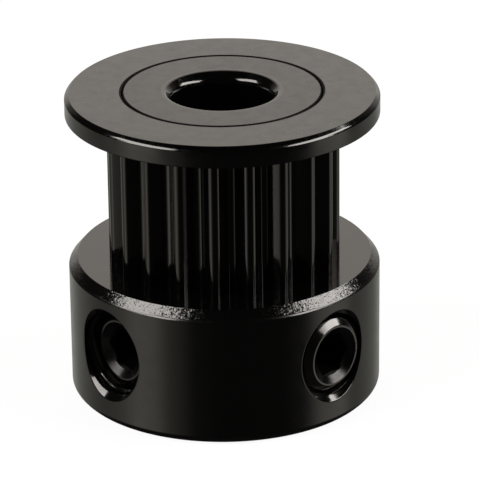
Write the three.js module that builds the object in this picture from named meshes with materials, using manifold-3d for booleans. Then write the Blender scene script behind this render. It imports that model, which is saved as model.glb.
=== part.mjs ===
// Timing belt pulley: twenty round-profile teeth for a 6 mm wide belt of 2 mm pitch, cut on the
// barrel of a one-piece hub, with a flange ring pressed on at the outer end and two socket set
// screws in the hub that clamp a 5 mm shaft.
//
// Millimetres, +Z up along the shaft. The origin is the centre of the hub's end face, and the two
// set screws stand at equal angles to the left and right of -Y.

import * as THREE from 'three';
import { mergeVertices } from 'three/addons/utils/BufferGeometryUtils.js';
import Module from 'manifold-3d';

const wasm = await Module();
wasm.setup();

// Overall
const OUTER_RADIUS = 8;
const OVERALL_HEIGHT = 16;
const TURNED_SEGMENTS = 96;

// Hub
const HUB_HEIGHT = 7.2;
const HUB_TOP_CHAMFER = 0.5;
const HUB_BASE_CHAMFER = 0.25;
const BORE_RADIUS = 2.5;
const BORE_CHAMFER = 0.4;

// Teeth
const TOOTH_COUNT = 20;
const TIP_RADIUS = 5.94;
const GROOVE_DEPTH = 0.75;
const GROOVE_ROOT_ARC = 0.7;
const GROOVE_FLANK_ARC = 1;
const TOOTH_PHASE = THREE.MathUtils.degToRad(-2.7);

// Flange ring and the spigot that carries it
const FLANGE_THICKNESS = 1.1;
const FLANGE_TOP_CHAMFER = 0.22;
const SPIGOT_RADIUS = 5.06;
const SEAT_GAP = 0.04;
const SEAM_CHAMFER = 0.06;

// Set screws, M4 x 4 with a cup point
const SCREW_ANGLE = THREE.MathUtils.degToRad(46.5);
const SCREW_HEIGHT = 3.75;
const SCREW_RADIUS = 1.99;
const SCREW_LENGTH = 4;
const SCREW_FACE_RADIUS = 1.6;
const SCREW_FACE_CHAMFER = 0.3;
const LEFT_SCREW_FACE = 7.08;
const RIGHT_SCREW_FACE = 7.9;
const SOCKET_WIDTH = 2;
const SOCKET_DEPTH = 2;
const SOCKET_LEAD_IN_RADIUS = 1.5;
const SOCKET_LEAD_IN_DEPTH = 0.25;
const CUP_RADIUS = 1;
const CUP_DEPTH = 0.5;
const SCREW_SEGMENTS = 36;

// Tapped holes
const HOLE_RADIUS = 2.05;
const COUNTERSINK_RADIUS = 2.464;
const CUTTER_START = 1;
const CUTTER_END = OUTER_RADIUS + 1;

const barrelTop = OVERALL_HEIGHT - FLANGE_THICKNESS - SEAT_GAP;

/** The solid of one closed three.js geometry. */
function toSolid(geometry) {
  const bare = geometry.clone();
  bare.deleteAttribute('normal');
  bare.deleteAttribute('uv');
  const merged = mergeVertices(bare, 1e-5);
  return new wasm.Manifold(
    new wasm.Mesh({
      numProp: 3,
      vertProperties: new Float32Array(merged.attributes.position.array),
      triVerts: new Uint32Array(merged.index.array),
    }),
  );
}

/** The three.js geometry of one solid. */
function toGeometry(solid) {
  const mesh = solid.getMesh();
  const geometry = new THREE.BufferGeometry();
  geometry.setAttribute('position', new THREE.BufferAttribute(mesh.vertProperties, 3));
  geometry.setIndex(new THREE.BufferAttribute(mesh.triVerts, 1));
  return geometry;
}

/** A ring or disc turned about +Z from [radius, height] corners, listed counter-clockwise. */
function turned(corners, segments) {
  const closed = [...corners, corners[0]];
  const profile = closed.map(([radius, height]) => new THREE.Vector2(radius, height));
  return new THREE.LatheGeometry(profile, segments).rotateX(Math.PI / 2);
}

/** Lays a piece turned about +Z along a radius of the pulley, at an angle from -Y towards +X. */
function layRadially(geometry, angle) {
  return geometry
    .rotateX(Math.PI / 2)
    .rotateZ(angle)
    .translate(0, 0, SCREW_HEIGHT);
}

/** Points of an arc about [x, y], from one angle to another, both ends included. */
function arc([x, y], radius, from, to, steps) {
  return Array.from({ length: steps + 1 }, (_, i) => {
    const angle = from + ((to - from) * i) / steps;
    return [x + radius * Math.cos(angle), y + radius * Math.sin(angle)];
  });
}

/**
 * One belt groove in its own frame, x along the pitch and y outwards from the tip circle: a root
 * arc that runs into a longer flank arc on each side, without a corner, up to the tip circle.
 */
function grooveOutline() {
  const rootCentre = GROOVE_ROOT_ARC - GROOVE_DEPTH;
  const centreDistance = GROOVE_FLANK_ARC - GROOVE_ROOT_ARC;
  const blend = Math.asin(-rootCentre / centreDistance);
  const flankCentre = centreDistance * Math.cos(blend);
  const left = arc([flankCentre, 0], GROOVE_FLANK_ARC, -Math.PI, blend - Math.PI, 2);
  const root = arc([0, rootCentre], GROOVE_ROOT_ARC, blend - Math.PI, -blend, 6);
  const right = arc([-flankCentre, 0], GROOVE_FLANK_ARC, -blend, 0, 2);
  return [...left, ...root.slice(1), ...right.slice(1)];
}

/** The toothed outline seen along the shaft. */
function toothedOutline() {
  const groove = grooveOutline();
  const points = [];
  for (let tooth = 0; tooth < TOOTH_COUNT; tooth += 1) {
    const middle = TOOTH_PHASE + ((tooth + 0.5) * 2 * Math.PI) / TOOTH_COUNT - Math.PI / 2;
    for (const [x, y] of groove) {
      const radius = TIP_RADIUS + y;
      const angle = middle + x / TIP_RADIUS;
      points.push(new THREE.Vector2(radius * Math.cos(angle), radius * Math.sin(angle)));
    }
  }
  return points;
}

/** The toothed barrel as a tube that sinks into the hub below it. */
function barrelSolid() {
  const outline = new THREE.Shape(toothedOutline());
  const core = new THREE.Path();
  core.absarc(0, 0, BORE_RADIUS + 1, 0, 2 * Math.PI, true);
  outline.holes.push(core);
  const sunk = HUB_TOP_CHAMFER;
  const tube = new THREE.ExtrudeGeometry(outline, {
    depth: barrelTop - HUB_HEIGHT + sunk,
    bevelEnabled: false,
    curveSegments: TURNED_SEGMENTS / 4,
  });
  return toSolid(tube.translate(0, 0, HUB_HEIGHT - sunk));
}

/** Hub, core and spigot: everything on the lathe side of the body, with its through bore. */
function turnedBodySolid() {
  return toSolid(
    turned(
      [
        [BORE_RADIUS + BORE_CHAMFER, 0],
        [OUTER_RADIUS - HUB_BASE_CHAMFER, 0],
        [OUTER_RADIUS, HUB_BASE_CHAMFER],
        [OUTER_RADIUS, HUB_HEIGHT - HUB_TOP_CHAMFER],
        [OUTER_RADIUS - HUB_TOP_CHAMFER, HUB_HEIGHT],
        [SPIGOT_RADIUS, HUB_HEIGHT],
        [SPIGOT_RADIUS, OVERALL_HEIGHT - SEAM_CHAMFER],
        [SPIGOT_RADIUS - SEAM_CHAMFER, OVERALL_HEIGHT],
        [BORE_RADIUS + BORE_CHAMFER, OVERALL_HEIGHT],
        [BORE_RADIUS, OVERALL_HEIGHT - BORE_CHAMFER],
        [BORE_RADIUS, BORE_CHAMFER],
      ],
      TURNED_SEGMENTS,
    ),
  );
}

/** The space of one tapped hole: from the bore out through a countersink in the hub's side. */
function screwHoleSolid(angle) {
  const countersinkStart = OUTER_RADIUS - (COUNTERSINK_RADIUS - HOLE_RADIUS);
  const mouthRadius = COUNTERSINK_RADIUS + CUTTER_END - OUTER_RADIUS;
  const cutter = turned(
    [
      [0, CUTTER_START],
      [HOLE_RADIUS, CUTTER_START],
      [HOLE_RADIUS, countersinkStart],
      [mouthRadius, CUTTER_END],
      [0, CUTTER_END],
    ],
    SCREW_SEGMENTS,
  );
  return toSolid(layRadially(cutter, angle));
}

/** Hub, toothed barrel and spigot, turned and cut from one bar. */
function pulleyBody() {
  return toGeometry(
    turnedBodySolid()
      .add(barrelSolid())
      .subtract(screwHoleSolid(-SCREW_ANGLE))
      .subtract(screwHoleSolid(SCREW_ANGLE)),
  );
}

/** The ring pressed on the spigot, which keeps the belt on the teeth. */
function endFlange() {
  const inner = SPIGOT_RADIUS + SEAT_GAP;
  const bottom = OVERALL_HEIGHT - FLANGE_THICKNESS;
  return turned(
    [
      [inner, bottom],
      [OUTER_RADIUS, bottom],
      [OUTER_RADIUS, OVERALL_HEIGHT - FLANGE_TOP_CHAMFER],
      [OUTER_RADIUS - FLANGE_TOP_CHAMFER, OVERALL_HEIGHT],
      [inner + SEAM_CHAMFER, OVERALL_HEIGHT],
      [inner, OVERALL_HEIGHT - SEAM_CHAMFER],
    ],
    TURNED_SEGMENTS,
  );
}

/** The outside of a set screw along +Z, from its cup point up to its driven face. */
function screwBlank(face) {
  const tip = face - SCREW_LENGTH;
  return turned(
    [
      [0, tip + CUP_DEPTH],
      [CUP_RADIUS, tip],
      [SCREW_RADIUS, tip + SCREW_RADIUS - CUP_RADIUS],
      [SCREW_RADIUS, face - SCREW_FACE_CHAMFER],
      [SCREW_FACE_RADIUS, face],
      [0, face],
    ],
    SCREW_SEGMENTS,
  );
}

/** The hexagonal socket of a set screw, as a prism that runs out through its face. */
function socketPrism(face) {
  const corner = SOCKET_WIDTH / Math.sqrt(3);
  const hexagon = new THREE.Shape();
  for (let side = 0; side < 6; side += 1) {
    const angle = (side * Math.PI) / 3;
    const move = side === 0 ? 'moveTo' : 'lineTo';
    hexagon[move](corner * Math.cos(angle), corner * Math.sin(angle));
  }
  hexagon.closePath();
  const prism = new THREE.ExtrudeGeometry(hexagon, { depth: SOCKET_DEPTH + 1, bevelEnabled: false });
  return prism.translate(0, 0, face - SOCKET_DEPTH);
}

/** The cone that leads a key into the socket. */
function socketLeadIn(face) {
  const corner = SOCKET_WIDTH / Math.sqrt(3);
  const slope = (SOCKET_LEAD_IN_RADIUS - corner) / SOCKET_LEAD_IN_DEPTH;
  const above = 1;
  return turned(
    [
      [0, face - SOCKET_LEAD_IN_DEPTH],
      [corner, face - SOCKET_LEAD_IN_DEPTH],
      [SOCKET_LEAD_IN_RADIUS + slope * above, face + above],
      [0, face + above],
    ],
    SCREW_SEGMENTS,
  );
}

/** One set screw, its driven face at a given distance from the pulley's axis. */
function setScrew(angle, face) {
  const solid = toSolid(layRadially(screwBlank(face), angle))
    .subtract(toSolid(layRadially(socketPrism(face), angle)))
    .subtract(toSolid(layRadially(socketLeadIn(face), angle)));
  return toGeometry(solid);
}

/** A named piece with a material of its own. */
function piece(name, geometry, { color, roughness, metalness }) {
  const material = new THREE.MeshStandardMaterial({ color, roughness, metalness });
  const mesh = new THREE.Mesh(geometry, material);
  mesh.name = name;
  return mesh;
}

const blackAnodised = { color: 0x0c0c0d, roughness: 0.3, metalness: 0 };
const blackSteel = { color: 0x0a0a0a, roughness: 0.25, metalness: 0 };

const pulley = new THREE.Group();
pulley.add(piece('pulley_body', pulleyBody(), blackAnodised));
pulley.add(piece('end_flange', endFlange(), blackAnodised));
pulley.add(piece('set_screw_left', setScrew(-SCREW_ANGLE, LEFT_SCREW_FACE), blackSteel));
pulley.add(piece('set_screw_right', setScrew(SCREW_ANGLE, RIGHT_SCREW_FACE), blackSteel));

export default pulley;
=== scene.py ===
from math import cos, pi, radians, sin, sqrt

import bpy
import numpy as np
from mathutils import Matrix, Quaternion, Vector
from mathutils.geometry import tessellate_polygon


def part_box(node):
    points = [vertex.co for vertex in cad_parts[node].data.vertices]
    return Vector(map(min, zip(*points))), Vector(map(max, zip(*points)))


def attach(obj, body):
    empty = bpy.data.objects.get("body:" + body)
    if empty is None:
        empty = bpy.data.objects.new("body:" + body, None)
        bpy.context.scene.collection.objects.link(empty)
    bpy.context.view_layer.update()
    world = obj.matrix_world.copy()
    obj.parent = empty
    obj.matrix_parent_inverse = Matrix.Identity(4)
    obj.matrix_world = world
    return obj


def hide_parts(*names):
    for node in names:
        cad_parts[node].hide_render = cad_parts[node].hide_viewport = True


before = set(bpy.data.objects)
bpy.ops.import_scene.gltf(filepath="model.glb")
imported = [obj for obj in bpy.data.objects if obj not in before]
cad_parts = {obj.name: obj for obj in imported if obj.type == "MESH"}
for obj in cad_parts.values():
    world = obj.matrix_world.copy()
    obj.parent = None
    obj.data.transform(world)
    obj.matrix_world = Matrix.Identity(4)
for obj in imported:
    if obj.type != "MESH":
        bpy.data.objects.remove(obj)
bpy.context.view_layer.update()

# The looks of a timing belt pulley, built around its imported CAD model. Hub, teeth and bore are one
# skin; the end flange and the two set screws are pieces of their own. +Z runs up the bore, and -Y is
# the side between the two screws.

MM = 0.001

# ---------------------------------------------------------------------------------------------
# Sizes, in millimetres. Those that the frame holds are read from it.
# ---------------------------------------------------------------------------------------------


def low_high(node):
    """A CAD node's lowest and highest corners in millimetres."""
    low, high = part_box(node)
    return low / MM, high / MM


_, body_high = low_high("pulley_body")
flange_low, flange_high = low_high("end_flange")
screw_low, screw_high = low_high("set_screw_left")

# How far the widest places stay inside the CAD's box
INSIDE_CAD_BOX = 0.001

OUTER_RADIUS = flange_high.x - INSIDE_CAD_BOX
OVERALL_HEIGHT = body_high.z
FLANGE_BOTTOM = flange_low.z

HUB_HEIGHT = 7.2
HUB_TOP_CHAMFER = 0.5
HUB_TOP_CHAMFER_INWARDS = 0.45
HUB_BASE_CHAMFER = 0.25
BORE_RADIUS = 2.5
BORE_CHAMFER = 0.4
SPIGOT_RADIUS = 5.06
SEAT_GAP = 0.04
SEAM_CHAMFER = 0.07
BARREL_TOP = FLANGE_BOTTOM - SEAT_GAP

TOOTH_COUNT = 20
TIP_RADIUS = 5.94
GROOVE_DEPTH = 0.75
GROOVE_OPENING = 1.5
GROOVE_FLOOR = 0.36
TOOTH_PHASE = radians(-2.7)

FLANGE_TOP_CHAMFER = 0.22

SCREW_ANGLE = radians(46.5)
SCREW_HEIGHT = (screw_low.z + screw_high.z) / 2
SCREW_LENGTH = 4.0
SCREW_FACE_RADIUS = 1.6
SCREW_FACE_CHAMFER = 0.3
LEFT_SCREW_FACE = 7.08
RIGHT_SCREW_FACE = 7.9
SOCKET_WIDTH = 2.0
SOCKET_DEPTH = 2.0
SOCKET_LEAD_IN_RADIUS = 1.5
SOCKET_LEAD_IN_DEPTH = 0.25
SOCKET_DRILL_POINT = 0.35
CUP_RADIUS = 1.0
CUP_DEPTH = 0.5

THREAD_PITCH = 0.7
THREAD_MAJOR = 2.0
THREAD_CLEARANCE = 0.03
THREAD_SLOPE = sqrt(3)
SCREW_ROOT = 1.56
HOLE_CREST = 1.65
HOLE_AT_BORE = 1.7
HOLE_PLAIN_RADIUS = 2.0
COUNTERSINK_RADIUS = 2.464
COUNTERSINK_START = OUTER_RADIUS - COUNTERSINK_RADIUS
STEP_RADIUS = 2.14
STEP_LENGTH = 0.28

# The hole's thread stops at a distance from the pulley's axis, and both its ends fade.
THREAD_TOP = 5.6
THREAD_TOP_FADE = 0.15
THREAD_RUN_OUT = 0.5

# ---------------------------------------------------------------------------------------------
# Edges. A softness is the length over which a corner is eased, and a lip is the narrow strip of
# flat face that is turned together with the edge beside it.
# ---------------------------------------------------------------------------------------------

TOOTH_TIP_SOFTNESS = 0.175
GROOVE_FLOOR_SOFTNESS = 0.17

HUB_BASE_LIP = 0.1
HUB_BASE_FACE_SOFTNESS = 0.08
HUB_BASE_SIDE_SOFTNESS = 0.18
HUB_EDGE_SOFTNESS = 0.02

FLANGE_SEAT_SOFTNESS = 0.05
FLANGE_LOWER_SOFTNESS = 0.06
FLANGE_SIDE_SOFTNESS = 0.02
FLANGE_EDGE_SOFTNESS = 0.05
FLANGE_TOP_SOFTNESS = 0.02
FLANGE_TOP_LIP = 0.03

SEAM_LIP = 0.05
SEAM_WALL_SOFTNESS = 0.03
SEAM_FACE_SOFTNESS = 0.01

BORE_TOP_LIP = 0.2
BORE_TOP_FACE_SOFTNESS = 0.09
BORE_TOP_WALL_SOFTNESS = 0.25
BORE_BASE_LIP = 0.05
BORE_BASE_SOFTNESS = 0.04

HOLE_MOUTH_SOFTNESS = 0.05
HOLE_THREAD_SOFTNESS = 0.09
CUT_SOFTNESS = 0.02
SOCKET_MOUTH_SOFTNESS = 0.015
SOCKET_CORNER_SOFTNESS = 0.01

# Narrow flats between a side and the chamfer above it: how far they go inwards, and upwards
HUB_EDGE_FLAT_IN, HUB_EDGE_FLAT_UP = 0.045, 0.075
FLANGE_EDGE_FLAT_IN, FLANGE_EDGE_FLAT_UP = 0.06, 0.1

# The facets of the hub's rough chamfer: where they start past the narrow flat, the share of the
# slope that they take up, and how they lie
GRAIN_START_IN, GRAIN_START_UP = 0.03, 0.035
GRAIN_FROM, GRAIN_TO = 0.04, 0.97
GRAIN_ROWS = 9
GRAIN_SPLITS = 3
GRAIN_TILT = 0.042
GRAIN_LEAN = radians(37)
GRAIN_SEED = 11

# ---------------------------------------------------------------------------------------------
# Mesh making: sheets of points with their own normals, welded into one skin
# ---------------------------------------------------------------------------------------------

WELD = 1e-4
UP = np.array([0, 0, 1.0])
DOWN = -UP


class Skin:
    """A piece's surface, made of sheets that meet edge to edge. Points are in millimetres."""

    def __init__(self):
        self.points, self.normals, self.faces, self.finishes = [], [], [], []
        self.size = 0

    def _add(self, points, normals, faces, finish):
        """Adds faces, each turned so that it faces the way its normals point."""
        points = np.asarray(points, float).reshape(-1, 3)
        normals = np.asarray(normals, float).reshape(-1, 3)
        for face in faces:
            ring = points[face] - points[face[0]]
            facing = np.cross(ring, np.roll(ring, -1, axis=0)).sum(0)
            ordered = face if facing @ normals[list(face)].sum(0) >= 0 else face[::-1]
            self.faces.append([self.size + i for i in ordered])
            self.finishes.append(finish)
        self.points.append(points)
        self.normals.append(normals)
        self.size += len(points)

    def grid(self, points, normals, finish, wrap=False):
        """A sheet of quads over rows and columns of points; wrap joins its last column to its first."""
        rows, columns = points.shape[:2]
        last = columns if wrap else columns - 1
        faces = [
            [
                i * columns + j,
                i * columns + (j + 1) % columns,
                (i + 1) * columns + (j + 1) % columns,
                (i + 1) * columns + j,
            ]
            for i in range(rows - 1)
            for j in range(last)
        ]
        self._add(points, normals, faces, finish)

    def facets(self, points, normals, splits, tilt, finish):
        """A sheet that runs round, broken into small flat facets that tilt at random, in radians. Its
        first and last rows keep whole outer edges, which meet the sheets beside them."""
        rows, columns = points.shape[:2]
        chance = np.random.default_rng(GRAIN_SEED)
        shares = np.linspace(0, 1, splits + 1)[:, None]
        for i in range(rows - 1):
            for j in range(columns):
                k = (j + 1) % columns
                low = points[i, j] * (1 - shares) + points[i, k] * shares
                high = points[i + 1, j] * (1 - shares) + points[i + 1, k] * shares
                for n in range(splits):
                    tilted = normals[i, j] / np.linalg.norm(normals[i, j]) + chance.normal(0, tilt, 3)
                    if 0 < i < rows - 2:
                        corners = [low[n], low[n + 1], high[n + 1], high[n]]
                    elif n:
                        continue
                    elif i == 0:
                        corners = [low[0], low[-1], *high[::-1]]
                    else:
                        corners = [high[0], high[-1], *low[::-1]]
                    self._add(corners, [tilted] * len(corners), [list(range(len(corners)))], finish)

    def flat(self, loops, normal, finish):
        """A flat face between an outer loop and the loops of its openings."""
        points = np.concatenate(loops)
        faces = tessellate_polygon([[Vector(p) for p in loop] for loop in loops])
        self._add(points, np.tile(normal, (len(points), 1)), [list(f) for f in faces], finish)

    def build(self, name, materials):
        """The welded mesh object, with the sheets' own normals and one material for each finish."""
        points = np.concatenate(self.points)
        normals = np.concatenate(self.normals)
        _, first, welded = np.unique(
            np.round(points / WELD).astype(np.int64), axis=0, return_index=True, return_inverse=True
        )
        welded = welded.reshape(-1)
        faces, corners, finishes = [], [], []
        for face, finish in zip(self.faces, self.finishes):
            kept = [i for k, i in enumerate(face) if welded[i] != welded[face[k - 1]]]
            if len({welded[i] for i in kept}) >= 3:
                faces.append([int(welded[i]) for i in kept])
                corners.extend(kept)
                finishes.append(finish)
        mesh = bpy.data.meshes.new(name)
        mesh.from_pydata((points[first] * MM).tolist(), [], faces)
        slots = list(dict.fromkeys(finishes))
        for finish in slots:
            mesh.materials.append(materials[finish])
        mesh.polygons.foreach_set("material_index", [slots.index(f) for f in finishes])
        mesh.polygons.foreach_set("use_smooth", [True] * len(faces))
        lengths = np.linalg.norm(normals[corners], axis=1, keepdims=True)
        mesh.normals_split_custom_set((normals[corners] / lengths).tolist())
        mesh.validate(clean_customdata=False)
        piece = bpy.data.objects.new(name, mesh)
        bpy.context.scene.collection.objects.link(piece)
        return piece


def grid_normals(points):
    """Normals of a sheet whose columns run round, from its own points."""
    along = np.gradient(points, axis=0)
    around = np.roll(points, -1, axis=1) - np.roll(points, 1, axis=1)
    return np.cross(around, along)


def rounded(corners, steps=5):
    """An outline through corners (x, y, softness) with each corner eased over that length. Returns
    its points and its normals, which point to the right of the way it runs."""
    points, normals = [], []
    for i, (x, y, soft) in enumerate(corners):
        here = np.array([x, y])
        if i in (0, len(corners) - 1):
            other = np.array(corners[1 if i == 0 else i - 1][:2])
            way = (other - here) if i == 0 else (here - other)
            points.append(here)
            normals.append([way[1], -way[0]])
            continue
        before = here - np.array(corners[i - 1][:2])
        after = np.array(corners[i + 1][:2]) - here
        before, after = before / np.linalg.norm(before), after / np.linalg.norm(after)
        for t in np.linspace(0, 1, steps):
            points.append(here - before * soft * (1 - t) ** 2 + after * soft * t**2)
            way = before * (1 - t) + after * t
            normals.append([way[1], -way[0]])
    normals = np.array(normals)
    return np.array(points), normals / np.linalg.norm(normals, axis=1, keepdims=True)


def turned(outline, normals, angles):
    """An outline of (radius, height) carried round +Z through angles measured from -Y towards +X."""
    sines, cosines = np.sin(angles), np.cos(angles)
    radius, height = outline[:, :1], outline[:, 1:]
    points = np.stack([radius * sines, -radius * cosines, np.repeat(height, len(angles), 1)], -1)
    out, up = normals[:, :1], normals[:, 1:]
    directions = np.stack([out * sines, -out * cosines, np.repeat(up, len(angles), 1)], -1)
    return points, directions


def circle_loop(radius, height, angles):
    """Points of a level circle."""
    levels = np.full(len(angles), height)
    return np.stack([radius * np.sin(angles), -radius * np.cos(angles), levels], -1)


# ---------------------------------------------------------------------------------------------
# Windows: square patches of a cylinder around a round hole that opens through it
# ---------------------------------------------------------------------------------------------

WINDOW_SIDE = 32
HUB_WINDOW = 2.7
BORE_WINDOW = BORE_RADIUS * SCREW_ANGLE
HUB_PATCH_RINGS = 9
BORE_PATCH_RINGS = 5
PATCH_CROWDING = 1.5

# Columns between the two windows, in front and behind; the bore's windows meet in front
HUB_GAP_COLUMNS = (40, 184)
BORE_GAP_COLUMNS = (0, 64)


def window_angles(half_angle, gaps):
    """Angles round a cylinder with a column at each point of the two windows' upper sides, and
    even columns in the gaps between the windows, in front and behind."""
    front, behind = gaps
    window = np.linspace(-half_angle, half_angle, WINDOW_SIDE + 1)[:-1]
    inner, outer = SCREW_ANGLE - half_angle, SCREW_ANGLE + half_angle
    parts = [window - SCREW_ANGLE]
    if front:
        parts.append(np.linspace(-inner, inner, front + 1)[:-1])
    parts.append(window + SCREW_ANGLE)
    parts.append(np.linspace(outer, 2 * pi - outer, behind + 1)[:-1])
    return np.concatenate(parts)


def window_square():
    """Points round the edge of a square of half side 1, anticlockwise from its lower left."""
    side = np.linspace(-1, 1, WINDOW_SIDE + 1)[:-1]
    one = np.ones(WINDOW_SIDE)
    sides = [(side, -one), (one, side), (-side, one), (-one, -side)]
    return np.concatenate([np.stack(s, -1) for s in sides])


def hole_edge(cylinder, hole, turn):
    """Where a hole of a radius meets a cylinder, as (distance round, height) from the hole's centre."""
    return np.stack([cylinder * np.arcsin(hole * np.cos(turn) / cylinder), hole * np.sin(turn)], -1)


def window_patch(radius, half, angle, edge, rings, facing):
    """The cylinder between a hole's edge and the square window round it, its rings crowded towards
    the hole. Facing is 1 outwards and -1 inwards."""
    square = window_square() * half
    shares = np.linspace(0, 1, rings)[:, None, None] ** PATCH_CROWDING
    place = edge * (1 - shares) + square * shares
    turn = angle + place[..., 0] / radius
    height = SCREW_HEIGHT + place[..., 1]
    points = np.stack([radius * np.sin(turn), -radius * np.cos(turn), height], -1)
    normals = np.stack([np.sin(turn), -np.cos(turn), np.zeros_like(turn)], -1) * facing
    return points, normals


def wall_between_windows(skin, radius, half, angles, facing, finish):
    """The windows' band of a cylinder, apart from the windows themselves."""
    heights = np.linspace(-half, half, WINDOW_SIDE + 1) + SCREW_HEIGHT
    half_angle = half / radius
    outline = np.stack([np.full(len(heights), radius), heights], -1)
    normals = np.tile([facing, 0.0], (len(heights), 1))
    closed = np.append(angles, angles[0] + 2 * pi)
    middles = (closed[:-1] + closed[1:]) / 2
    away = np.abs(np.abs((middles + pi) % (2 * pi) - pi) - SCREW_ANGLE)
    points, directions = turned(outline, normals, closed)
    for j in np.flatnonzero(away > half_angle):
        skin.grid(points[:, j : j + 2], directions[:, j : j + 2], finish)


# ---------------------------------------------------------------------------------------------
# Threads and tapped holes
# ---------------------------------------------------------------------------------------------

MOUTH_ROWS = 7
HOLE_ROWS = 150
MOUTH_SEARCH_STEPS = 40


def smooth_max(a, b, width):
    """The larger of two values, with the change from one to the other eased over a width."""
    return (a + b + np.sqrt((a - b) ** 2 + width**2)) / 2


def smooth_min(a, b, width):
    """The smaller of two values, eased likewise."""
    return -smooth_max(-a, -b, width)


def eased_corner(start, corner, end, share):
    """A curve from start to end that bends towards a corner, at a share of its way."""
    return start * (1 - share) ** 2 + 2 * corner * share * (1 - share) + end * share**2


def thread_radius(along, turn, root, crest, outset, soft=CUT_SOFTNESS):
    """Radius of a right-handed thread at a distance along its axis and an angle round it."""
    step = (along / THREAD_PITCH - turn / (2 * pi)) % 1 - 0.5
    peak = THREAD_MAJOR + THREAD_SLOPE * THREAD_PITCH / 16 + outset
    flank = peak - THREAD_SLOPE * THREAD_PITCH * np.abs(step)
    return smooth_min(smooth_max(flank, root, soft), crest, soft)


def screw_axis(angle):
    """The direction in which a screw's driven face points."""
    return np.array([sin(angle), -cos(angle), 0])


def along_screw(angle, along, radius, turn):
    """Points about a screw's axis: distance from the pulley's axis, radius and angle round."""
    across = np.array([cos(angle), sin(angle), 0])
    along, radius, turn = np.broadcast_arrays(along, radius, turn)
    points = (
        along[..., None] * screw_axis(angle)
        + (radius * np.cos(turn))[..., None] * across
        + (radius * np.sin(turn))[..., None] * UP
    )
    return points + UP * SCREW_HEIGHT


def countersink_mouth(turn):
    """Where the 45 degree countersink meets the hub's side, at each angle round the hole."""
    radius = np.full_like(turn, COUNTERSINK_RADIUS)
    for _ in range(MOUTH_SEARCH_STEPS):
        depth = np.sqrt(OUTER_RADIUS**2 - (radius * np.cos(turn)) ** 2)
        radius = (radius + depth - COUNTERSINK_START) / 2
    return radius


def hub_side_normals(points):
    """Outward normals of points on the hub's side."""
    flat = points * np.array([1, 1, 0])
    return flat / np.linalg.norm(flat, axis=-1, keepdims=True)


def hole_radius(along, end, turn):
    """Radius of a hole below its eased mouth: countersink, step, plain wall, thread and run-out."""
    crest = THREAD_MAJOR + THREAD_CLEARANCE
    thread = thread_radius(along, turn, HOLE_CREST, crest, THREAD_CLEARANCE, HOLE_THREAD_SOFTNESS)
    run_out = np.clip((along - end) / THREAD_RUN_OUT, 0, 1)
    thread = HOLE_AT_BORE + (thread - HOLE_AT_BORE) * run_out
    untapped = np.clip((along - THREAD_TOP) / THREAD_TOP_FADE, 0, 1)
    thread += (HOLE_PLAIN_RADIUS - thread) * untapped
    countersink = along - COUNTERSINK_START
    step = smooth_min(STEP_RADIUS, countersink + STEP_LENGTH, CUT_SOFTNESS)
    radius = smooth_max(thread, smooth_max(countersink, step, CUT_SOFTNESS), CUT_SOFTNESS)
    radius[-1] = HOLE_AT_BORE
    return radius


def tapped_hole(skin, angle):
    """The countersink and the thread of one hole, with the windows round both its ends."""
    corner = window_square()
    turn = np.arctan2(corner[:, 1], corner[:, 0])
    mouth = countersink_mouth(turn)
    mouth_along = mouth + COUNTERSINK_START
    rim = mouth + HOLE_MOUTH_SOFTNESS
    rim_along = np.sqrt(OUTER_RADIUS**2 - (rim * np.cos(turn)) ** 2)
    inner = HOLE_MOUTH_SOFTNESS / sqrt(2)

    edge = hole_edge(OUTER_RADIUS, rim, turn)
    patch = window_patch(OUTER_RADIUS, HUB_WINDOW, angle, edge, HUB_PATCH_RINGS, 1)
    skin.grid(*patch, "side", wrap=True)

    share = np.linspace(0, 1, MOUTH_ROWS)[:, None]
    radius = eased_corner(rim, mouth, mouth - inner, share)
    along = eased_corner(rim_along, mouth_along, mouth_along - inner, share)

    start = mouth_along - inner
    end = np.sqrt(BORE_RADIUS**2 - (HOLE_AT_BORE * np.cos(turn)) ** 2)
    deep_along = start + (end - start) * np.linspace(0, 1, HOLE_ROWS)[1:, None]
    radius = np.concatenate([radius, hole_radius(deep_along, end, turn)])
    along = np.concatenate([along, deep_along])

    wall = along_screw(angle, along, radius, turn)
    normals = grid_normals(wall)
    axis_line = along_screw(angle, along, 0.0, turn)
    if (normals * (axis_line - wall)).sum() < 0:
        normals = -normals
    normals[0] = hub_side_normals(wall[0])
    skin.grid(wall, normals, "cut", wrap=True)

    edge = hole_edge(BORE_RADIUS, HOLE_AT_BORE, turn)
    patch = window_patch(BORE_RADIUS, BORE_WINDOW, angle, edge, BORE_PATCH_RINGS, -1)
    skin.grid(*patch, "bore", wrap=True)


# ---------------------------------------------------------------------------------------------
# The toothed outline
# ---------------------------------------------------------------------------------------------

TOOTH_CORNER_STEPS = 11


def tooth_gap():
    """One groove and the halves of the teeth beside it, x along the pitch and y outwards from the
    tip circle, with normals that point out of the metal."""
    half_pitch = pi * TIP_RADIUS / TOOTH_COUNT
    half_floor = GROOVE_FLOOR / 2
    half_opening = GROOVE_OPENING / 2
    points, inwards = rounded(
        [
            (-half_pitch, 0, 0),
            (-half_opening, 0, TOOTH_TIP_SOFTNESS),
            (-half_floor, -GROOVE_DEPTH, GROOVE_FLOOR_SOFTNESS),
            (half_floor, -GROOVE_DEPTH, GROOVE_FLOOR_SOFTNESS),
            (half_opening, 0, TOOTH_TIP_SOFTNESS),
            (half_pitch, 0, 0),
        ],
        steps=TOOTH_CORNER_STEPS,
    )
    return points, -inwards


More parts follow.
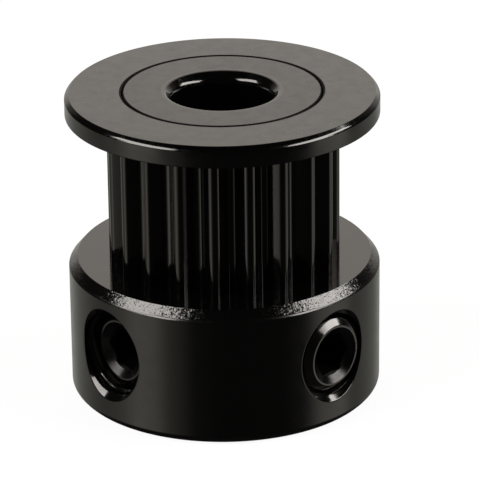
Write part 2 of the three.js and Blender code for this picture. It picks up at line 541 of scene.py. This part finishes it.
def toothed_outline():
    """The whole outline seen along the bore, anticlockwise, with its normals."""
    gap, gap_normals = tooth_gap()
    around, out = gap_normals[:, 0], gap_normals[:, 1]
    points, normals = [], []
    for tooth in range(TOOTH_COUNT):
        middle = TOOTH_PHASE + (tooth + 0.5) * 2 * pi / TOOTH_COUNT
        turn = middle + gap[:, 0] / TIP_RADIUS
        radius = TIP_RADIUS + gap[:, 1]
        sines, cosines = np.sin(turn), np.cos(turn)
        points.append(np.stack([radius * sines, -radius * cosines], -1))
        normals.append(np.stack([out * sines + around * cosines, -out * cosines + around * sines], -1))
    return np.concatenate(points), np.concatenate(normals)


# ---------------------------------------------------------------------------------------------
# Pieces
# ---------------------------------------------------------------------------------------------

FLANGE_COLUMNS = 288


def hub_base(skin, angles):
    """The hub's lower edge and the side up to the windows. Returns the lip's inner loop."""
    outline = rounded(
        [
            (OUTER_RADIUS - HUB_BASE_CHAMFER - HUB_BASE_LIP, 0, 0),
            (OUTER_RADIUS - HUB_BASE_CHAMFER, 0, HUB_BASE_FACE_SOFTNESS),
            (OUTER_RADIUS, HUB_BASE_CHAMFER, HUB_BASE_SIDE_SOFTNESS),
            (OUTER_RADIUS, SCREW_HEIGHT - HUB_WINDOW, 0),
        ]
    )
    points, normals = turned(*outline, angles)
    skin.grid(points, normals, "side", wrap=True)
    return points[0]


def hub_chamfer(skin, angles):
    """The side above the windows and the rough chamfer. Returns the chamfer's upper loop."""
    flat_top = HUB_HEIGHT - HUB_TOP_CHAMFER + HUB_EDGE_FLAT_IN
    low = np.array([OUTER_RADIUS - HUB_EDGE_FLAT_IN - GRAIN_START_IN, flat_top + GRAIN_START_UP])
    high = np.array([OUTER_RADIUS - HUB_TOP_CHAMFER_INWARDS, HUB_HEIGHT])
    outline = rounded(
        [
            (OUTER_RADIUS, SCREW_HEIGHT + HUB_WINDOW, 0),
            (OUTER_RADIUS, flat_top - HUB_EDGE_FLAT_UP, HUB_EDGE_SOFTNESS),
            (OUTER_RADIUS - HUB_EDGE_FLAT_IN, flat_top, HUB_EDGE_SOFTNESS),
            (*low, 0),
        ]
    )
    skin.grid(*turned(*outline, angles), "side", wrap=True)
    shares = np.array([0, *np.linspace(GRAIN_FROM, GRAIN_TO, GRAIN_ROWS + 1), 1])[:, None]
    slope = low + (high - low) * shares
    slope_normals = np.tile([cos(GRAIN_LEAN), sin(GRAIN_LEAN)], (len(slope), 1))
    points, normals = turned(slope, slope_normals, angles)
    skin.facets(points, normals, GRAIN_SPLITS, GRAIN_TILT, "rough_chamfer")
    return points[-1]


def barrel(skin, hub_top_outer, angles):
    """The teeth, the hub's upper face outside them and the barrel's top, on which the flange sits."""
    outline, outline_normals = toothed_outline()
    levels = [HUB_HEIGHT, BARREL_TOP]
    wall = np.stack([np.column_stack([outline, np.full(len(outline), z)]) for z in levels])
    wall_normals = np.stack([np.column_stack([outline_normals, np.zeros(len(outline))])] * 2)
    skin.grid(wall, wall_normals, "teeth", wrap=True)
    skin.flat([hub_top_outer, wall[0]], UP, "hub_face")
    skin.flat([wall[1], circle_loop(SPIGOT_RADIUS, BARREL_TOP, angles)], UP, "face")


def spigot(skin, angles):
    """The spigot inside the flange. Returns the inner loop of its top's lip."""
    edge = SPIGOT_RADIUS - SEAM_CHAMFER
    outline = rounded(
        [
            (SPIGOT_RADIUS, BARREL_TOP, 0),
            (SPIGOT_RADIUS, OVERALL_HEIGHT - SEAM_CHAMFER, SEAM_WALL_SOFTNESS),
            (edge, OVERALL_HEIGHT, SEAM_FACE_SOFTNESS),
            (edge - SEAM_LIP, OVERALL_HEIGHT, 0),
        ]
    )
    points, normals = turned(*outline, angles)
    skin.grid(points[:-1], normals[:-1], "seam", wrap=True)
    skin.grid(points[-2:], normals[-2:], "face", wrap=True)
    return points[-1]


def bore(skin, spigot_top, base_inner):
    """The bore, its chamfers and the end faces round it, out to the two loops given."""
    angles = window_angles(BORE_WINDOW / BORE_RADIUS, BORE_GAP_COLUMNS)
    mouth = BORE_RADIUS + BORE_CHAMFER
    top = rounded(
        [
            (mouth + BORE_TOP_LIP, OVERALL_HEIGHT, 0),
            (mouth, OVERALL_HEIGHT, BORE_TOP_FACE_SOFTNESS),
            (BORE_RADIUS, OVERALL_HEIGHT - BORE_CHAMFER, BORE_TOP_WALL_SOFTNESS),
            (BORE_RADIUS, SCREW_HEIGHT + BORE_WINDOW, 0),
        ]
    )
    points, normals = turned(*top, angles)
    skin.grid(points, normals, "bore", wrap=True)
    skin.flat([spigot_top, points[0]], UP, "face")

    wall_between_windows(skin, BORE_RADIUS, BORE_WINDOW, angles, -1, "bore")

    bottom = rounded(
        [
            (BORE_RADIUS, SCREW_HEIGHT - BORE_WINDOW, 0),
            (BORE_RADIUS, BORE_CHAMFER, BORE_BASE_SOFTNESS),
            (mouth, 0, BORE_BASE_SOFTNESS),
            (mouth + BORE_BASE_LIP, 0, 0),
        ]
    )
    points, normals = turned(*bottom, angles)
    skin.grid(points, normals, "bore", wrap=True)
    skin.flat([base_inner, points[-1]], DOWN, "face")


def pulley_body(materials):
    """Hub, teeth, spigot and bore in one skin."""
    skin = Skin()
    angles = window_angles(HUB_WINDOW / OUTER_RADIUS, HUB_GAP_COLUMNS)
    base_inner = hub_base(skin, angles)
    wall_between_windows(skin, OUTER_RADIUS, HUB_WINDOW, angles, 1, "side")
    hub_top_outer = hub_chamfer(skin, angles)
    barrel(skin, hub_top_outer, angles)
    spigot_top = spigot(skin, angles)
    bore(skin, spigot_top, base_inner)
    for angle in (-SCREW_ANGLE, SCREW_ANGLE):
        tapped_hole(skin, angle)
    return skin.build("body_of_pulley", materials)


def end_flange(materials):
    """The pressed ring that keeps the belt on the teeth."""
    skin = Skin()
    angles = np.linspace(0, 2 * pi, FLANGE_COLUMNS, endpoint=False)
    inner = SPIGOT_RADIUS + SEAT_GAP
    half_way = (FLANGE_BOTTOM + OVERALL_HEIGHT) / 2
    flat_top = OVERALL_HEIGHT - FLANGE_TOP_CHAMFER + FLANGE_EDGE_FLAT_IN
    top_radius = OUTER_RADIUS - FLANGE_TOP_CHAMFER
    seam_radius = inner + SEAM_CHAMFER
    lip_start = (top_radius - FLANGE_TOP_LIP, OVERALL_HEIGHT, 0)
    lip_end = (seam_radius + SEAM_LIP, OVERALL_HEIGHT, 0)
    side = [
        (inner, half_way, 0),
        (inner, FLANGE_BOTTOM, FLANGE_SEAT_SOFTNESS),
        (OUTER_RADIUS, FLANGE_BOTTOM, FLANGE_LOWER_SOFTNESS),
        (OUTER_RADIUS, half_way, 0),
    ]
    edge = [
        (OUTER_RADIUS, half_way, 0),
        (OUTER_RADIUS, flat_top - FLANGE_EDGE_FLAT_UP, FLANGE_SIDE_SOFTNESS),
        (OUTER_RADIUS - FLANGE_EDGE_FLAT_IN, flat_top, FLANGE_EDGE_SOFTNESS),
        (top_radius, OVERALL_HEIGHT, FLANGE_TOP_SOFTNESS),
        lip_start,
    ]
    seam = [
        lip_end,
        (seam_radius, OVERALL_HEIGHT, SEAM_FACE_SOFTNESS),
        (inner, OVERALL_HEIGHT - SEAM_CHAMFER, SEAM_WALL_SOFTNESS),
        (inner, half_way, 0),
    ]
    face = [lip_start, lip_end]
    for corners, finish in ((side, "side"), (edge, "edge"), (face, "ring"), (seam, "seam")):
        skin.grid(*turned(*rounded(corners), angles), finish, wrap=True)
    return skin.build("flange_ring", materials)


SCREW_COLUMNS = 144
CUP_ROWS = 8
CUP_CURVE = 1.5
THREAD_ROWS = 140
NEAR_FACE_ROWS = 25
FACE_LIP_STEPS = (0.02, 0.06, 0.1)
LEAD_IN_ROWS = 13
SOCKET_MOUTH_DEPTH = 0.5
SOCKET_WALL_START = 0.6
SOCKET_WALL_ROWS = 8
SOCKET_FLOOR_START = 0.9
SOCKET_FLOOR_ROWS = 6


def socket_radius(turn):
    """Distance from the axis to the wall of the hexagonal socket."""
    side = (turn + pi / 6) % (pi / 3) - pi / 6
    flat_distance = SOCKET_WIDTH / 2
    corner_distance = flat_distance * 2 / sqrt(3)
    wall = flat_distance / np.cos(pi / 6 - np.abs(side))
    return smooth_min(wall, corner_distance - SOCKET_CORNER_SOFTNESS, SOCKET_CORNER_SOFTNESS)


def screw_side(along, face, turn):
    """Radius of the screw's outside: thread, cup-point bevel and the bevel of its driven face."""
    tip = face - SCREW_LENGTH
    crest = THREAD_MAJOR - THREAD_CLEARANCE
    near_end = np.clip((along - face + 2 * SCREW_FACE_CHAMFER) / SCREW_FACE_CHAMFER, 0, 1)
    root = SCREW_ROOT + (crest - SCREW_ROOT) * near_end
    thread = thread_radius(along, turn, root, crest, -THREAD_CLEARANCE)
    side = smooth_min(thread, CUP_RADIUS + along - tip, CUT_SOFTNESS)
    flare = (crest - SCREW_FACE_RADIUS) / SCREW_FACE_CHAMFER
    return smooth_min(side, SCREW_FACE_RADIUS + flare * (face - along), CUT_SOFTNESS)


def set_screw(name, angle, face, materials):
    """A cup-point socket set screw, its driven face at a distance from the pulley's axis."""
    turn = np.linspace(0, 2 * pi, SCREW_COLUMNS, endpoint=False)
    tip = face - SCREW_LENGTH
    level = np.ones_like(turn)

    cup_share = np.linspace(0, 1, CUP_ROWS)[:, None]
    cup_radius = CUP_RADIUS * cup_share * level
    cup_along = tip + CUP_DEPTH * (1 - cup_share**CUP_CURVE) * level

    near_face = np.linspace(face - 2 * SCREW_FACE_CHAMFER, face, NEAR_FACE_ROWS)
    threaded = np.linspace(tip, near_face[0], THREAD_ROWS)[1:-1]
    side_along = np.concatenate([threaded, near_face])[:, None] * level
    side_radius = screw_side(side_along, face, turn)

    lip_radius = (SCREW_FACE_RADIUS - np.array(FACE_LIP_STEPS)[:, None]) * level
    lip_along = face * np.ones_like(lip_radius)

    mouth_depth = np.linspace(0, SOCKET_MOUTH_DEPTH, 2 * LEAD_IN_ROWS)
    wall_depth = np.linspace(SOCKET_WALL_START, SOCKET_DEPTH, SOCKET_WALL_ROWS)
    depth = np.concatenate([mouth_depth, wall_depth])[:, None]
    slope = (SOCKET_LEAD_IN_RADIUS - SOCKET_WIDTH / sqrt(3)) / SOCKET_LEAD_IN_DEPTH
    hexagon = socket_radius(turn) * np.ones_like(depth)
    socket = smooth_max(hexagon, SOCKET_LEAD_IN_RADIUS - slope * depth, SOCKET_MOUTH_SOFTNESS)
    socket_along = (face - depth) * level

    floor = np.linspace(SOCKET_FLOOR_START, 0, SOCKET_FLOOR_ROWS)[:, None]
    floor_radius = socket_radius(turn) * floor
    floor_along = face - SOCKET_DEPTH - SOCKET_DRILL_POINT * (1 - floor) * level

    radius = np.concatenate([cup_radius, side_radius, lip_radius, socket, floor_radius])
    along = np.concatenate([cup_along, side_along, lip_along, socket_along, floor_along])
    points = along_screw(angle, along, radius, turn)
    normals = grid_normals(points)
    middle = len(cup_radius) + len(side_along) // 2
    outwards = points[middle] - along_screw(angle, along[middle], 0.0, turn)
    if (normals[middle] * outwards).sum() < 0:
        normals = -normals
    axis = screw_axis(angle)
    lip = len(cup_radius) + len(side_along)
    mouth = lip + len(lip_radius)
    inside = mouth + LEAD_IN_ROWS
    normals[0] = -axis
    normals[lip:mouth] = axis
    normals[-1] = axis

    skin = Skin()
    skin.grid(points[: mouth + 1], normals[: mouth + 1], "screw", wrap=True)
    skin.grid(points[mouth : inside + 1], normals[mouth : inside + 1], "lead_in", wrap=True)
    skin.grid(points[inside:], normals[inside:], "socket", wrap=True)
    return skin.build(name, materials)


# ---------------------------------------------------------------------------------------------
# Materials. Noise sizes and bump depths are in millimetres.
# ---------------------------------------------------------------------------------------------

ANODISED = (0.0012, 0.0012, 0.0012)
ANODISED_IOR = 1.62
BLACK_OXIDE = (0.002, 0.0018, 0.0016)
BLACK_OXIDE_IOR = 1.7
SHADOW = (0.0004, 0.0004, 0.0004)
SHADOW_IOR = 1.2
WARM_GLOSS = (1.0, 0.95, 0.9, 1)

# Most of a noise texture's values lie between these.
NOISE_LOW, NOISE_HIGH = 0.3, 0.7


def new_material(name, color, roughness, ior):
    """A material whose shader has these constant values; returns it with its nodes and links."""
    material = bpy.data.materials.new(name)
    material.use_nodes = True
    nodes, links = material.node_tree.nodes, material.node_tree.links
    shader = nodes["Principled BSDF"]
    shader.inputs["Base Color"].default_value = (*color, 1)
    shader.inputs["Roughness"].default_value = roughness
    shader.inputs["IOR"].default_value = ior
    shader.inputs["Specular Tint"].default_value = WARM_GLOSS
    return material, nodes, links, shader


def object_place(nodes):
    """The place on the object, in its own frame."""
    return nodes.new("ShaderNodeTexCoord").outputs["Object"]


def noise(nodes, links, place, size_mm):
    """A noise texture whose grains are about size_mm across."""
    texture = nodes.new("ShaderNodeTexNoise")
    texture.inputs["Scale"].default_value = 1 / (size_mm * MM)
    links.new(place, texture.inputs["Vector"])
    return texture.outputs["Fac"]


def rings(nodes, links, place, spacing_mm):
    """Uneven rings round the bore, about spacing_mm apart."""
    split = nodes.new("ShaderNodeSeparateXYZ")
    links.new(place, split.inputs[0])
    squares = [math_node(nodes, links, "POWER", split.outputs[axis], 2.0) for axis in ("X", "Y")]
    radius = math_node(nodes, links, "SQRT", math_node(nodes, links, "ADD", *squares))
    texture = nodes.new("ShaderNodeTexNoise")
    texture.noise_dimensions = "1D"
    texture.inputs["Scale"].default_value = 1 / (spacing_mm * MM)
    links.new(radius, texture.inputs["W"])
    return texture.outputs["Fac"]


def math_node(nodes, links, operation, *inputs):
    """A Math node fed with sockets or constants."""
    node = nodes.new("ShaderNodeMath")
    node.operation = operation
    for socket, value in zip(node.inputs, inputs):
        if isinstance(value, (int, float)):
            socket.default_value = value
        else:
            links.new(value, socket)
    return node.outputs[0]


def vary_roughness(nodes, links, value, low, high, shader):
    """Moves the shader's roughness between low and high with a noise."""
    span = nodes.new("ShaderNodeMapRange")
    span.inputs["From Min"].default_value = NOISE_LOW
    span.inputs["From Max"].default_value = NOISE_HIGH
    span.inputs["To Min"].default_value = low
    span.inputs["To Max"].default_value = high
    links.new(value, span.inputs["Value"])
    links.new(span.outputs["Result"], shader.inputs["Roughness"])


def bump(nodes, links, height, depth_mm, shader):
    """Raises the surface by a height of 0 to 1 times depth_mm."""
    node = nodes.new("ShaderNodeBump")
    node.inputs["Distance"].default_value = depth_mm * MM
    links.new(height, node.inputs["Height"])
    links.new(node.outputs["Normal"], shader.inputs["Normal"])


def grainy(name, color, ior, roughness, patch_size, grain_size, grain_depth):
    """A glossy material with a fine grain, its roughness between two values from patch to patch."""
    low, high = roughness
    material, nodes, links, shader = new_material(name, color, high, ior)
    place = object_place(nodes)
    vary_roughness(nodes, links, noise(nodes, links, place, patch_size), low, high, shader)
    bump(nodes, links, noise(nodes, links, place, grain_size), grain_depth, shader)
    return material


def turned_face(name, ior, roughness):
    """Black anodised face with the faint rings that the lathe leaves."""
    ring_spacing = 0.05
    grain_size = 0.05
    grain_share = 1.5
    patch_size = 0.6
    depth = 0.0006
    low, high = roughness
    material, nodes, links, shader = new_material(name, ANODISED, high, ior)
    place = object_place(nodes)
    marks = rings(nodes, links, place, ring_spacing)
    grain = math_node(nodes, links, "MULTIPLY", noise(nodes, links, place, grain_size), grain_share)
    vary_roughness(nodes, links, noise(nodes, links, place, patch_size), low, high, shader)
    bump(nodes, links, math_node(nodes, links, "ADD", marks, grain), depth, shader)
    return material


def turned_side():
    """The hub's glossy side, with a faint grain."""
    return grainy(
        "anodised_side",
        ANODISED,
        ANODISED_IOR,
        roughness=(0.17, 0.24),
        patch_size=0.8,
        grain_size=0.06,
        grain_depth=0.0007,
    )


def rough_chamfer():
    """The coarsely cut chamfer round the hub's top, which glitters."""
    roughness = 0.14
    grain_size = 0.06
    grain_depth = 0.0035
    material, nodes, links, shader = new_material("anodised_chamfer", ANODISED, roughness, ANODISED_IOR)
    bump(nodes, links, noise(nodes, links, object_place(nodes), grain_size), grain_depth, shader)
    return material


def shadowed(name):
    """Dull black of places that no light reaches."""
    roughness = 0.6
    material, *_ = new_material(name, SHADOW, roughness, SHADOW_IOR)
    return material


def cut_wall(name, roughness, grain_depth, ior=ANODISED_IOR):
    """Walls left by the hob, the tap, the countersink and the drill."""
    smoother, rougher = 0.03, 0.05
    return grainy(
        name,
        ANODISED,
        ior,
        roughness=(roughness - smoother, roughness + rougher),
        patch_size=0.3,
        grain_size=0.08,
        grain_depth=grain_depth,
    )


def black_oxide():
    """Blackened steel of the set screws."""
    return grainy(
        "black_oxide_steel",
        BLACK_OXIDE,
        BLACK_OXIDE_IOR,
        roughness=(0.1, 0.17),
        patch_size=0.25,
        grain_size=0.07,
        grain_depth=0.0005,
    )


# ---------------------------------------------------------------------------------------------
# Studio
# ---------------------------------------------------------------------------------------------

CAMERA_AZIMUTH = radians(2.2)
CAMERA_ELEVATION = radians(22.85)
CAMERA_DISTANCE = 185.4
CAMERA_LENS = 270.5
CAMERA_SENSOR = 36
CAMERA_CLIP_START = 0.01
CAMERA_PAN, CAMERA_TILT, CAMERA_ROLL = radians(-0.252), radians(-0.068), radians(0.781)

FLOOR_HALF = 4.0
FLOOR_DROP = 0.05
FLOOR_GLOW = 0.93
FLOOR_GREY = (0.12, 0.12, 0.12, 1)
WHITE = (1, 1, 1, 1)


def add_camera():
    """The camera, aimed at the middle of the pulley and then turned by its small pan and roll."""
    data = bpy.data.cameras.new("camera")
    data.lens = CAMERA_LENS
    data.sensor_width = CAMERA_SENSOR
    data.clip_start = CAMERA_CLIP_START
    camera = bpy.data.objects.new("camera", data)
    axes = {
        "right": Vector((1, 0, 0)),
        "up": Vector((0, sin(CAMERA_ELEVATION), cos(CAMERA_ELEVATION))),
        "ahead": Vector((0, cos(CAMERA_ELEVATION), -sin(CAMERA_ELEVATION))),
    }
    middle = Vector((0, 0, OVERALL_HEIGHT / 2))
    place = middle - CAMERA_DISTANCE * axes["ahead"]
    for about, turn in (("up", CAMERA_PAN), ("right", CAMERA_TILT), ("ahead", CAMERA_ROLL)):
        rotation = Quaternion(axes[about], turn)
        axes = {name: rotation @ axis for name, axis in axes.items()}
    facing = Matrix((axes["right"], axes["up"], -axes["ahead"])).transposed().to_4x4()
    round_the_bore = Matrix.Rotation(CAMERA_AZIMUTH, 4, "Z")
    camera.matrix_world = round_the_bore @ Matrix.Translation(place * MM) @ facing
    bpy.context.scene.collection.objects.link(camera)
    bpy.context.scene.camera = camera


def add_floor():
    """A plain pale floor, bright enough to run into the backdrop."""
    corners = [(-1, -1), (1, -1), (1, 1), (-1, 1)]
    mesh = bpy.data.meshes.new("floor")
    mesh.from_pydata([(x * FLOOR_HALF, y * FLOOR_HALF, 0) for x, y in corners], [], [(0, 1, 2, 3)])
    floor = bpy.data.objects.new("floor", mesh)
    floor.location.z = -FLOOR_DROP * MM
    material = bpy.data.materials.new("pale_floor")
    material.use_nodes = True
    nodes, links = material.node_tree.nodes, material.node_tree.links
    nodes.remove(nodes["Principled BSDF"])
    glow = nodes.new("ShaderNodeEmission")
    glow.inputs["Color"].default_value = WHITE
    glow.inputs["Strength"].default_value = FLOOR_GLOW
    matt = nodes.new("ShaderNodeBsdfDiffuse")
    matt.inputs["Color"].default_value = FLOOR_GREY
    both = nodes.new("ShaderNodeAddShader")
    links.new(glow.outputs[0], both.inputs[0])
    links.new(matt.outputs[0], both.inputs[1])
    links.new(both.outputs[0], nodes["Material Output"].inputs["Surface"])
    mesh.materials.append(material)
    floor.visible_glossy = False
    bpy.context.scene.collection.objects.link(floor)


def add_softbox(name, azimuth, elevation, distance, size, power):
    """An area light facing the pulley, its azimuth measured from -Y towards +X. Angles are in
    degrees, lengths in metres and the power in watts."""
    data = bpy.data.lights.new(name, "AREA")
    data.shape = "RECTANGLE"
    data.size, data.size_y = size
    data.energy = power
    light = bpy.data.objects.new(name, data)
    a, e = radians(azimuth), radians(elevation)
    way = Vector((sin(a) * cos(e), -cos(a) * cos(e), sin(e)))
    light.location = way * distance + Vector((0, 0, OVERALL_HEIGHT / 2 * MM))
    light.rotation_euler = way.to_track_quat("Z", "Y").to_euler()
    bpy.context.scene.collection.objects.link(light)


# The studio's walls: (azimuth from -Y towards +X in degrees, brightness)
UPPER_WALLS = [
    (-180, 1.05), (-162, 0.95), (-150, 0.62), (-142, 0.18), (-128, 0.02), (-60, 0.008),
    (60, 0.008), (124, 0.02), (138, 0.1), (148, 0.44), (160, 0.95), (180, 1.05),
]
LOWER_WALLS = [
    (-180, 0.55), (-160, 0.46), (-130, 0.32), (-100, 0.25), (-84, 0.38), (-66, 0.82), (-54, 0.76),
    (-38, 0.24), (-20, 0.03), (0, 0.012), (45, 0.015), (62, 0.05), (80, 0.64), (96, 0.72),
    (112, 0.26), (145, 0.28), (165, 0.42), (180, 0.55),
]
UPPER_TINT = (1.0, 0.945, 0.88)
LOWER_TINT = (1.0, 1.0, 0.92)

# How far up a direction points, as its Z, where one part of the room blends into the next
UNDERFOOT = (-0.64, -0.5)
HORIZON = (-0.14, 0.03)
CEILING = (0.95, 0.985)
UNDERFOOT_GREY = (0.02, 0.02, 0.02, 1)
CEILING_GREY = (0.05, 0.05, 0.05, 1)


def ramp(nodes, links, azimuth, stops, tint):
    """A brightness by azimuth, blended smoothly from stop to stop."""
    node = nodes.new("ShaderNodeValToRGB")
    node.color_ramp.interpolation = "EASE"
    elements = node.color_ramp.elements
    elements.remove(elements[-1])
    for i, (at, level) in enumerate(stops):
        place = (at + 180) / 360
        element = elements[0] if i == 0 else elements.new(place)
        element.position = place
        element.color = (*(level * share for share in tint), 1)
    links.new(azimuth, node.inputs["Fac"])
    return node.outputs["Color"]


def share_of(nodes, links, value, low, high):
    """How far a value has come from low to high, from 0 to 1."""
    node = nodes.new("ShaderNodeMapRange")
    node.inputs["From Min"].default_value = low
    node.inputs["From Max"].default_value = high
    links.new(value, node.inputs["Value"])
    return node.outputs["Result"]


def mixed(nodes, links, share, first, second):
    """The first colour turning into the second; each is a socket or a constant."""
    node = nodes.new("ShaderNodeMixRGB")
    links.new(share, node.inputs["Fac"])
    for socket, color in ((node.inputs["Color1"], first), (node.inputs["Color2"], second)):
        if isinstance(color, tuple):
            socket.default_value = color
        else:
            links.new(color, socket)
    return node.outputs["Color"]


def add_world():
    """Studio walls by direction: white behind, dark in front, with soft glows low at the sides. The
    camera itself sees plain white."""
    world = bpy.data.worlds.new("studio")
    world.use_nodes = True
    nodes, links = world.node_tree.nodes, world.node_tree.links
    direction = nodes.new("ShaderNodeTexCoord").outputs["Generated"]
    split = nodes.new("ShaderNodeSeparateXYZ")
    links.new(direction, split.inputs[0])
    x, y, z = (split.outputs[axis] for axis in ("X", "Y", "Z"))
    forward = math_node(nodes, links, "MULTIPLY", y, -1.0)
    azimuth = share_of(nodes, links, math_node(nodes, links, "ARCTAN2", x, forward), -pi, pi)
    upper = ramp(nodes, links, azimuth, UPPER_WALLS, UPPER_TINT)
    glows = ramp(nodes, links, azimuth, LOWER_WALLS, LOWER_TINT)
    lower = mixed(nodes, links, share_of(nodes, links, z, *UNDERFOOT), UNDERFOOT_GREY, glows)
    walls = mixed(nodes, links, share_of(nodes, links, z, *HORIZON), lower, upper)
    room = mixed(nodes, links, share_of(nodes, links, z, *CEILING), walls, CEILING_GREY)
    seen = nodes.new("ShaderNodeLightPath").outputs["Is Camera Ray"]
    links.new(mixed(nodes, links, seen, room, WHITE), nodes["Background"].inputs["Color"])
    bpy.context.scene.world = world


# ---------------------------------------------------------------------------------------------
# The scene
# ---------------------------------------------------------------------------------------------

add_camera()
add_world()
add_floor()
add_softbox("softbox_left", azimuth=-64, elevation=37.5, distance=0.6, size=(0.47, 0.19), power=2.15)
add_softbox("softbox_right", azimuth=84, elevation=33, distance=0.6, size=(0.54, 0.16), power=2.3)
bpy.context.scene.view_settings.view_transform = "Standard"

materials = {
    "face": turned_face("anodised_face", ior=1.58, roughness=(0.24, 0.32)),
    "ring": turned_face("anodised_ring", ior=1.68, roughness=(0.24, 0.32)),
    "hub_face": turned_face("anodised_hub_face", ior=1.565, roughness=(0.05, 0.075)),
    # The screws' lead-in cones get a darker black and a lower IOR than the screw's steel. This is
    # painted shade in the socket's mouth.
    "lead_in": cut_wall("lead_in_painted_shade", roughness=0.22, grain_depth=0.0012, ior=1.42),
    "edge": cut_wall("anodised_edge", roughness=0.1, grain_depth=0.0003),
    "seam": shadowed("seam_shadow"),
    "socket": shadowed("socket_shadow"),
    "side": turned_side(),
    "rough_chamfer": rough_chamfer(),
    "teeth": cut_wall("anodised_teeth", roughness=0.095, grain_depth=0.001),
    "cut": cut_wall("anodised_cut", roughness=0.09, grain_depth=0.0015),
    "bore": cut_wall("anodised_bore", roughness=0.1, grain_depth=0.0015),
    "screw": black_oxide(),
}

body = pulley_body(materials)
flange = end_flange(materials)
left = set_screw("screw_left", -SCREW_ANGLE, LEFT_SCREW_FACE, materials)
right = set_screw("screw_right", SCREW_ANGLE, RIGHT_SCREW_FACE, materials)

for piece, rides_on, node, slot in (
    (body, "pulley", "pulley_body", "body"),
    (flange, "pulley", "end_flange", "flange"),
    (left, "left_screw", "set_screw_left", "screws"),
    (right, "right_screw", "set_screw_right", "screws"),
):
    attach(piece, rides_on)
    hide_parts(node)
